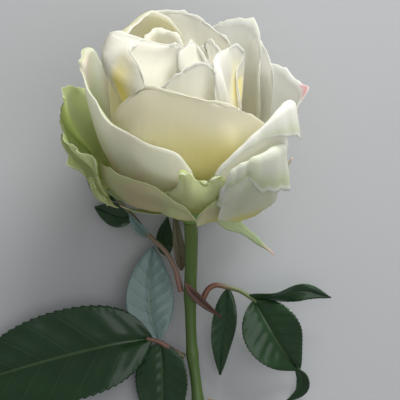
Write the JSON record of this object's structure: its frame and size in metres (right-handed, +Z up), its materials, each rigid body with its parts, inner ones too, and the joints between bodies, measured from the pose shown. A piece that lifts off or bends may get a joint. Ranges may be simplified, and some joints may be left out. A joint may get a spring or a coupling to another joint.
{
  "type": "cut rose",
  "caption": "Cut white rose lying on its side: a half open bloom of layered petals on a bare stem with toothed compound leaves near the top.",
  "frame": {"origin": "middle of the rose's box, on the surface that it lies on", "axes": "+Y along the stem from the cut end to the bloom, +Z up from the surface, +X to the right as seen from above with the bloom at the top"},
  "size_m": [0.1378, 0.2926, 0.0783],
  "materials": {
    "petal": "matte, soft",
    "stem": "smooth, green",
    "sepal": "matte, downy",
    "leaf": "waxy",
    "bract": "dry"
  },
  "bodies": {
    "root": {"bract_brown": "bract", "bract_red": "bract", "calyx": "sepal", "leaf_lower_left": "leaf", "leaf_right": "leaf", "leaf_upper_left": "leaf", "petal_bud_1": "petal", "petal_bud_2": "petal", "petal_bud_3": "petal", "petal_bud_4": "petal", "petal_bud_5": "petal", "petal_bud_6": "petal", "petal_inner_1": "petal", "petal_inner_2": "petal", "petal_inner_3": "petal", "petal_inner_4": "petal", "petal_inner_5": "petal", "petal_inner_6": "petal", "petal_inner_7": "petal", "petal_inner_8": "petal", "petal_middle_1": "petal", "petal_middle_2": "petal", "petal_middle_3": "petal", "petal_middle_4": "petal", "petal_middle_5": "petal", "petal_middle_6": "petal", "petal_middle_7": "petal", "petal_middle_8": "petal", "petal_outer_1": "petal", "petal_outer_2": "petal", "petal_outer_3": "petal", "petal_outer_4": "petal", "petal_outer_5": "petal", "petal_outer_6": "petal", "petal_outer_7": "petal", "side_bud": "bract", "stem": "stem"}
  },
  "joints": []
}
